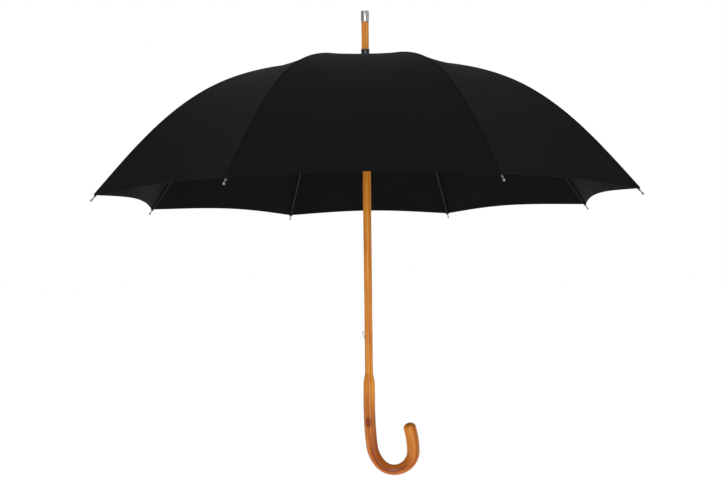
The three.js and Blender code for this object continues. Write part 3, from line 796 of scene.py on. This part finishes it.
def build_spike(chrome, black):
    """The cap, with a rolled groove near its foot, and the ring where the spike leaves the canopy."""
    radius = CAP_HIGH.x
    bore, groove = TENON_RADIUS + 0.1 * MM, radius - 0.35 * MM
    low, high = CAP_LOW.z, CAP_HIGH.z
    cap = finished("spike_cap", turned_bmesh(rounded([
        (0, high - 1.7 * MM), (bore, high - 1.7 * MM), (bore, low), (radius, low),
        (radius, low + 1.2 * MM), (groove, low + 1.5 * MM), (groove, low + 2.1 * MM),
        (radius, low + 2.4 * MM), (radius, high - 1.6 * MM), (radius - 1.5 * MM, high),
        (0, high)], 0.3 * MM)), chrome)
    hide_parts("ferrule_cap")
    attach(cap, "stick")
    low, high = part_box("crown_collar")
    inner, outer, foot, top = SPIKE_RADIUS + 0.05 * MM, high.x, low.z, high.z
    collar = finished("crown_ring", turned_bmesh(rounded([
        (inner, foot), (outer, foot), (outer, foot + 2 * MM), (outer - 0.4 * MM, foot + 2.8 * MM),
        (outer - 0.4 * MM, top - 4.4 * MM), (outer, top - 3.8 * MM), (outer, top - 0.7 * MM),
        (outer - 0.5 * MM, top), (inner, top), (inner, foot)], 0.35 * MM)), black)
    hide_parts("crown_collar")
    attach(collar, "stick")


def build_rosette(fabric):
    """A round of cloth with a pinked edge, under the collar."""
    low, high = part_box("crown_rosette")
    outer = high.x - 0.8 * MM
    inner = SHAFT_RADIUS + 0.4 * MM
    teeth = 36

    def place(u, v):
        angle = 2 * math.pi * u
        edge = outer + 0.7 * MM * (1 if round(u * teeth * 2) % 2 else -1)
        radius = lerp(inner, edge, v)
        z = lerp(high.z, low.z + 0.3 * MM, v ** 2)
        return Vector((radius * math.cos(angle), radius * math.sin(angle), z))

    bm = patch_bmesh(place, teeth * 2, 6, lambda u, v: (u * 2 * math.pi * outer, v * outer))
    bmesh.ops.remove_doubles(bm, verts=bm.verts, dist=MERGE_WITHIN)
    bmesh.ops.recalc_face_normals(bm, faces=bm.faces)
    rosette = thicken(finished("rosette_cloth", bm, fabric), 0.4 * MM)
    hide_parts("crown_rosette")
    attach(rosette, "stick")


# ---- ribs' small pieces ----

def build_tip(k, chrome):
    """A ball tip with a turned neck, over the rib's end."""
    start, ball, neck = RIB_CHANNEL_END + 0.1 * MM, TIP_BALL_RADIUS, TIP_NECK_RADIUS
    middle = RIB_LENGTH - ball
    low = math.pi - math.asin(neck / ball)
    profile = [(0, start), (neck + 0.3 * MM, start), (neck + 0.3 * MM, start + 2.4 * MM),
               (neck, start + 3 * MM)]
    profile += [(ball * math.sin(a), middle + ball * math.cos(a))
                for a in (low * (1 - i / 14) for i in range(14))]
    profile.append((0, RIB_LENGTH))
    bm = turned_bmesh(profile, 24)
    slope = rib_slope(RIB_LENGTH)
    x, z = rib_point(RIB_LENGTH)
    turn = Matrix.Translation((x, 0, z)) @ Matrix.Rotation(math.pi / 2 + slope, 4, "Y")
    bmesh.ops.transform(bm, matrix=turn @ Matrix.Translation((0, 0, -RIB_LENGTH)), verts=bm.verts)
    tip = finished(f"tip_ball_{k + 1}", put_in_sector(bm, k), chrome)
    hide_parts(f"rib_tip_{k + 1}")
    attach(tip, f"rib_{k + 1}_end")


def build_rivet(k, chrome):
    """A rivet through the rib and the stretcher's two ears, with a domed head at each end."""
    reach, head = 2.45 * MM, 1.7 * MM
    profile = [(0, -reach - 0.8 * MM), (head * 0.6, -reach - 0.65 * MM), (head, -reach - 0.05 * MM)]
    profile += [(0.8 * MM, -reach - 0.05 * MM), (0.8 * MM, reach + 0.05 * MM)]
    profile += [(head, reach + 0.05 * MM), (head * 0.6, reach + 0.65 * MM), (0, reach + 0.8 * MM)]
    bm = turned_bmesh(profile, 20)
    turn = Matrix.Translation((RIVET_RADIUS, 0, RIVET_Z)) @ Matrix.Rotation(math.pi / 2, 4, "X")
    bmesh.ops.transform(bm, matrix=turn, verts=bm.verts)
    rivet = finished(f"joint_rivet_{k + 1}", put_in_sector(bm, k), chrome)
    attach(rivet, f"stretcher_{k + 1}")


def build_runner_wire(chrome):
    """The wire ring in the runner's groove that the stretchers are threaded on."""
    centre = NOTCH_Z - 2 * (NOTCH_Z - JOINTS["stretcher_1_hinge"]["pos_m"][2])
    wire = 0.5 * MM
    profile = [(PIVOT_RADIUS + wire * math.cos(a), centre + wire * math.sin(a))
               for a in (2 * math.pi * i / 10 for i in range(11))]
    ring = finished("runner_wire", turned_bmesh(profile, 64), chrome)
    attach(ring, "runner")


# ---- canopy ----

def closed_radius(along):
    """Radius of a place on the rib when the umbrella is closed."""
    x, z = rib_point(along)
    if along < RIB_JOINT_AT:
        return PIVOT_RADIUS + (x - PIVOT_RADIUS) * math.cos(CLOSED_TILT) + z * math.sin(CLOSED_TILT)
    turn = CLOSED_TILT + STRAIGHTENING
    at_joint = closed_radius(RIB_JOINT_AT - 1e-6)
    return at_joint + (x - RIVET_RADIUS) * math.cos(turn) + (z - RIVET_Z) * math.sin(turn)


def fold(k, side, start, end):
    """How a part of a half gore folds: its direction, a point on the rib's line, the share kept.

    The share lets the folded edges of two neighbours meet half way between their ribs.
    """
    def on_cloth_at(along, across):
        x = max(rib_point(along)[0], CROWN_HOLE_RADIUS)
        y = across * x * math.tan(HALF_GORE)
        return Vector((x, y, cloth_z(x, y)))

    middle = (start + end) / 2
    chord = (on_cloth_at(end, 0) - on_cloth_at(start, 0)).normalized()
    axis = on_cloth_at(middle, 1) - on_cloth_at(middle, 0)
    axis = (axis - chord * axis.dot(chord)).normalized()
    inwards = math.hypot(axis.x, axis.z)
    keep = 0
    for step in range(2, 11):
        along = lerp(start, end, step / 10)
        room = closed_radius(along) * math.tan(HALF_GORE) / (axis.y + inwards * math.tan(HALF_GORE))
        width = (on_cloth_at(along, 1) - on_cloth_at(along, 0)).dot(axis)
        keep = max(keep, FOLD_MARGIN * room / width)
    axis.y *= side
    anchor = (on_cloth_at(start, 0) + on_cloth_at(end, 0)) / 4 + on_cloth_at(middle, 0) / 2
    turn = sector_matrix(k)
    return (turn.to_3x3() @ axis).normalized(), turn @ anchor, min(keep, FOLD_MOST)


def gather(piece, k, side, start, end):
    """The cloth rides on its length of rib and gets a mesh of its own; how it would fold is worked out but
    not used.
    """
    inner = end <= INNER_BANDS[-1]
    axis, anchor, keep = fold(k, side, start, end)
    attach(piece, f"rib_{k + 1}" if inner else f"rib_{k + 1}_end")
    tuple(axis)
    tuple(anchor)
    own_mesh(piece)


def band_edge(along, angle):
    """Radius of the line across the cloth that crosses the rib at a length along it."""
    if along <= 0:
        return CROWN_HOLE_RADIUS
    if along >= FABRIC_CORNER_AT:
        return hem_radius(angle)
    x = CANOPY_SPLIT if along == INNER_BANDS[-1] else rib_point(along)[0]
    drawn_in = HEM_SCALLOP * max(0.0, (along - INNER_BANDS[-1]) / (FABRIC_CORNER_AT - INNER_BANDS[-1]))
    from_middle = HALF_GORE - abs(angle)
    share = math.tan(from_middle) / math.tan(HALF_GORE)
    straight = x / math.cos(angle)
    hem_like = (x * math.cos(HALF_GORE) - drawn_in * (1 - share ** 2)) / math.cos(from_middle)
    return lerp(straight, hem_like, smoothstep(along, INNER_BANDS[-1], FABRIC_CORNER_AT))


def band_place(side, start, end):
    """A band's surface, puckered along the seam: u across from the rib, v out along it."""
    def place(u, v):
        angle = HALF_GORE * u * u * (3 - 2 * u)
        radius = lerp(band_edge(start, angle), band_edge(end, angle), v)
        x, y = radius * math.cos(angle), radius * math.sin(angle)
        pucker = 0.22 * MM * math.sin(rib_along(x) * 2 * math.pi / (13 * MM)) * math.exp(-y / (7 * MM))
        pucker *= smoothstep(radius, 30 * MM, 60 * MM)
        # Drag lines fan out from the corner, where the tip pulls the cloth.
        from_corner = math.hypot(CORNER_RADIUS - x, y)
        spread = math.atan2(y, max(CORNER_RADIUS - x, 1 * MM))
        tug = 0.5 * MM * math.sin(spread * 14) * math.exp(-from_corner / (45 * MM)) * smoothstep(y, 0, 4 * MM)
        tug *= smoothstep(from_corner, 0, 15 * MM)
        return Vector((x, side * y, cloth_z(x, y) + pucker + tug))
    return place


def build_canopy(fabric, thread):
    """Eight gores, each as two halves in parts along their rib, with seams and hems."""
    for k in range(RIB_COUNT):
        for span, borders in (("inner", INNER_BANDS), ("outer", OUTER_BANDS)):
            for index, (start, end) in enumerate(zip(borders, borders[1:])):
                length, width = end - start, rib_point(end)[0] * math.tan(HALF_GORE)
                rows = max(8, round(length / (4 * MM)))
                for side, hand in ((-1, "right"), (1, "left")):
                    bm = patch_bmesh(band_place(side, start, end), 26, rows,
                                     lambda u, v: (u * width, start + v * length))
                    if side < 0:
                        bmesh.ops.reverse_faces(bm, faces=bm.faces)
                    area = sum(face.calc_area() for face in bm.faces) / CLOTH_STRETCH
                    cover = finished(f"gore_{k + 1}_{span}_{index + 1}_{hand}", put_in_sector(bm, k), fabric)
                    thicken(cover, CLOTH_THICKNESS)
                    gather(cover, k, side, start, end)
                    if index == 0 and side < 0:
                        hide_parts(f"canopy_{k + 1}_{span}")
            build_seam(k, span == "inner", fabric, thread)
        for side, hand in ((-1, "right"), (1, "left")):
            build_hem(k, side, hand, fabric, thread)


def on_cloth(x, y, side, rise):
    """A place over the cloth, off its surface by rise."""
    step = 0.5 * MM
    slope_x = (cloth_z(x + step, y) - cloth_z(x - step, y)) / (2 * step)
    slope_y = (cloth_z(x, y + step) - cloth_z(x, max(0.0, y - step))) / (step + min(step, y))
    normal = Vector((-slope_x, -slope_y, 1)).normalized()
    normal.y *= side
    return Vector((x, side * y, cloth_z(x, y))) + normal * rise


def build_seam(k, inner, fabric, thread):
    """The seam over a rib: a low rolled welt outside and the turned-in edges inside, both sewn through."""
    split = RIB_JOINT_AT + 5 * MM
    start, end = (20 * MM, split) if inner else (split, FABRIC_CORNER_AT - 1 * MM)
    span = "inner" if inner else "outer"
    body = f"rib_{k + 1}" if inner else f"rib_{k + 1}_end"

    def strip(half_width, rise, crown):
        def place(u, v):
            x, _ = rib_point(lerp(start, end, v))
            y = (u - 0.5) * 2 * half_width
            arch = crown * (1 - (2 * u - 1) ** 2)
            return on_cloth(x, abs(y), 1 if y >= 0 else -1, rise + arch)
        return place

    def cut(u, v):
        return u * 8 * MM, lerp(start, end, v)

    for part, half_width, rise, crown, thickness in (
            ("welt", 1.5 * MM, 0.22 * MM, 0.42 * MM, 0.25 * MM),
            ("tape", 4.5 * MM, -0.45 * MM, -0.1 * MM, 0.3 * MM)):
        bm = patch_bmesh(strip(half_width, rise, crown), 8, 90, cut)
        trim = finished(f"seam_{part}_{k + 1}_{span}", put_in_sector(bm, k), fabric)
        thicken(trim, thickness)
        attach(trim, body)
    bm = bmesh.new()
    for row in (-1, 1):
        for i in range(int((end - start) / STITCH_PITCH)):
            along = start + (i + 0.5) * STITCH_PITCH
            x, _ = rib_point(along)
            for rise, offset in ((0.42 * MM, 1.95 * MM), (-0.72 * MM, 3.4 * MM)):
                centre = on_cloth(x, offset, row, rise)
                add_stitch(bm, centre, rib_slope(along), 0.0, STITCH_LENGTH)
    threads = finished(f"seam_thread_{k + 1}_{span}", put_in_sector(bm, k), thread)
    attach(threads, body)


def add_stitch(bm, centre, slope, turn, length):
    """One short stitch: a slim five-sided bar, along a slope and turned about Z."""
    matrix = Matrix.Translation(centre) @ Matrix.Rotation(turn, 4, "Z") @ Matrix.Rotation(slope, 4, "Y")
    bmesh.ops.create_cone(bm, cap_ends=True, cap_tris=False, segments=5, radius1=STITCH_RADIUS,
                          radius2=STITCH_RADIUS, depth=length,
                          matrix=matrix @ Matrix.Rotation(math.pi / 2, 4, "Y"))


def build_hem(k, side, hand, fabric, thread):
    """The hem is turned under twice and sewn: a flat fold round the edge, and stitches on each face."""
    def at(angle, back):
        radius = hem_radius(angle) + 0.4 * MM - back
        return radius * math.cos(angle), radius * math.sin(angle)

    def place(u, v):
        x, y = at(HALF_GORE * u, HEM_FOLD * (1 - v))
        return on_cloth(x, y, side, 0)

    def cut(u, v):
        return u * CORNER_RADIUS * HALF_GORE, v * HEM_FOLD

    bm = patch_bmesh(place, 60, 5, cut)
    if side < 0:
        bmesh.ops.reverse_faces(bm, faces=bm.faces)
    hem = thicken(finished(f"hem_{k + 1}_{hand}", put_in_sector(bm, k), fabric), 0.8 * MM)
    crisp(hem, 0.25 * MM)
    gather(hem, k, side, *OUTER_BANDS)

    bm = bmesh.new()
    count = int(CORNER_RADIUS * HALF_GORE / STITCH_PITCH)
    for i in range(count):
        angle = HALF_GORE * (i + 0.5) / count
        x, y = at(angle, HEM_FOLD - 1.4 * MM)
        x2, y2 = at(angle + 0.002, HEM_FOLD - 1.4 * MM)
        for rise in (0.47 * MM, -0.47 * MM):
            centre = on_cloth(x, y, side, rise)
            ahead = on_cloth(x2, y2, side, rise) - centre
            turn = math.atan2(ahead.y, ahead.x)
            slope = math.atan2(-ahead.z, math.hypot(ahead.x, ahead.y))
            add_stitch(bm, centre, slope, turn, STITCH_LENGTH)
    threads = finished(f"hem_thread_{k + 1}_{hand}", put_in_sector(bm, k), thread)
    gather(threads, k, side, *OUTER_BANDS)


def build_tie_band(fabric, thread, chrome):
    """A strap with a rounded end, sewn on over a rib's seam, and its press stud."""
    k = 2                           # over the third rib, on the far side
    start, end, half_width = 430 * MM, 575 * MM, 9.6 * MM

    def place(u, v):
        round_off = math.sqrt(max(0.0, 1 - max(0.0, 1 - v / 0.07) ** 2))
        x, _ = rib_point(lerp(start, end, v))
        y = (u - 0.5) * 2 * half_width * max(0.12, round_off)
        return on_cloth(x, abs(y), 1 if y >= 0 else -1, 2.2 * MM)

    def cut(u, v):
        return u * 2 * half_width, lerp(start, end, v)

    bm = put_in_sector(patch_bmesh(place, 12, 60, cut), k)
    band = thicken(finished("tie_band_cloth", bm, fabric), 1.1 * MM)
    crisp(band, 0.35 * MM)
    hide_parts("tie_band")
    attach(band, f"rib_{k + 1}_end")
    bm = bmesh.new()
    pitch = 3.0 * MM
    for row in (-1, 1):
        for i in range(int((end - start - 14 * MM) / pitch)):
            along = start + 12 * MM + i * pitch
            x, _ = rib_point(along)
            centre = on_cloth(x, half_width - 1.8 * MM, row, 2.8 * MM)
            add_stitch(bm, centre, rib_slope(along), 0.0, 2.0 * MM)
    threads = finished("tie_band_thread", put_in_sector(bm, k), thread)
    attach(threads, f"rib_{k + 1}_end")

    along = start + 12 * MM
    x, _ = rib_point(along)
    profile = [(0, -0.2 * MM), (5.2 * MM, -0.2 * MM), (5.5 * MM, 0.1 * MM), (5.4 * MM, 0.6 * MM),
               (4.6 * MM, 0.95 * MM), (3.9 * MM, 0.8 * MM), (3.4 * MM, 1.0 * MM), (1.8 * MM, 1.7 * MM),
               (0, 1.9 * MM)]
    bm = turned_bmesh(profile, 40)
    turn = Matrix.Translation(on_cloth(x, 0, 1, 2.9 * MM)) @ Matrix.Rotation(rib_slope(along), 4, "Y")
    bmesh.ops.transform(bm, matrix=turn, verts=bm.verts)
    stud = finished("press_stud", put_in_sector(bm, k), chrome)
    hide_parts("tie_band_stud")
    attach(stud, f"rib_{k + 1}_end")


# ---- the CAD pieces that stay ----

def refinish(nodes, material):
    """These CAD pieces keep their shape and get this finish."""
    for name in nodes:
        piece = frame["nodes"][name]
        piece.data.materials.clear()
        piece.data.materials.append(material)


# ---- assembly ----

build_camera()
build_stage()

wood = varnished_wood()
fabric = cloth("black_umbrella_cloth", (0.0052, 0.0052, 0.0053))
thread = cloth("black_thread", (0.0085, 0.0085, 0.0088), pitch=0.3 * MM)
chrome = metal("nickel_plate", (0.80, 0.80, 0.79), 1.0, 0.12, 0.24)
black_gloss = metal("black_gloss_ring", (0.008, 0.008, 0.009), 0.0, 0.08, 0.2, coat=0.5)
tip_nickel = metal("dull_nickel", (0.26, 0.26, 0.255), 1.0, 0.22, 0.38)
black_enamel = metal("black_enamelled_steel", (0.007, 0.007, 0.008), 0.0, 0.3, 0.45, coat=0.08)
hub_enamel = metal("black_enamelled_hub", (0.009, 0.009, 0.010), 0.0, 0.16, 0.3, coat=0.6)

build_stick(wood)
build_spring("hand_spring", tip_nickel)
build_spring("top_spring", chrome)
build_spike(chrome, black_gloss)
build_rosette(fabric)
build_canopy(fabric, thread)
build_tie_band(fabric, thread, chrome)
for k in range(RIB_COUNT):
    build_tip(k, tip_nickel)
    build_rivet(k, tip_nickel)
build_runner_wire(chrome)

numbers = range(1, RIB_COUNT + 1)
refinish([f"rib_{n}_{span}" for n in numbers for span in ("inner", "outer")], black_enamel)
refinish([f"stretcher_{n}" for n in numbers], black_enamel)
refinish(["top_notch", "runner"], hub_enamel)
refinish(["notch_wire", "notch_pin"], chrome)
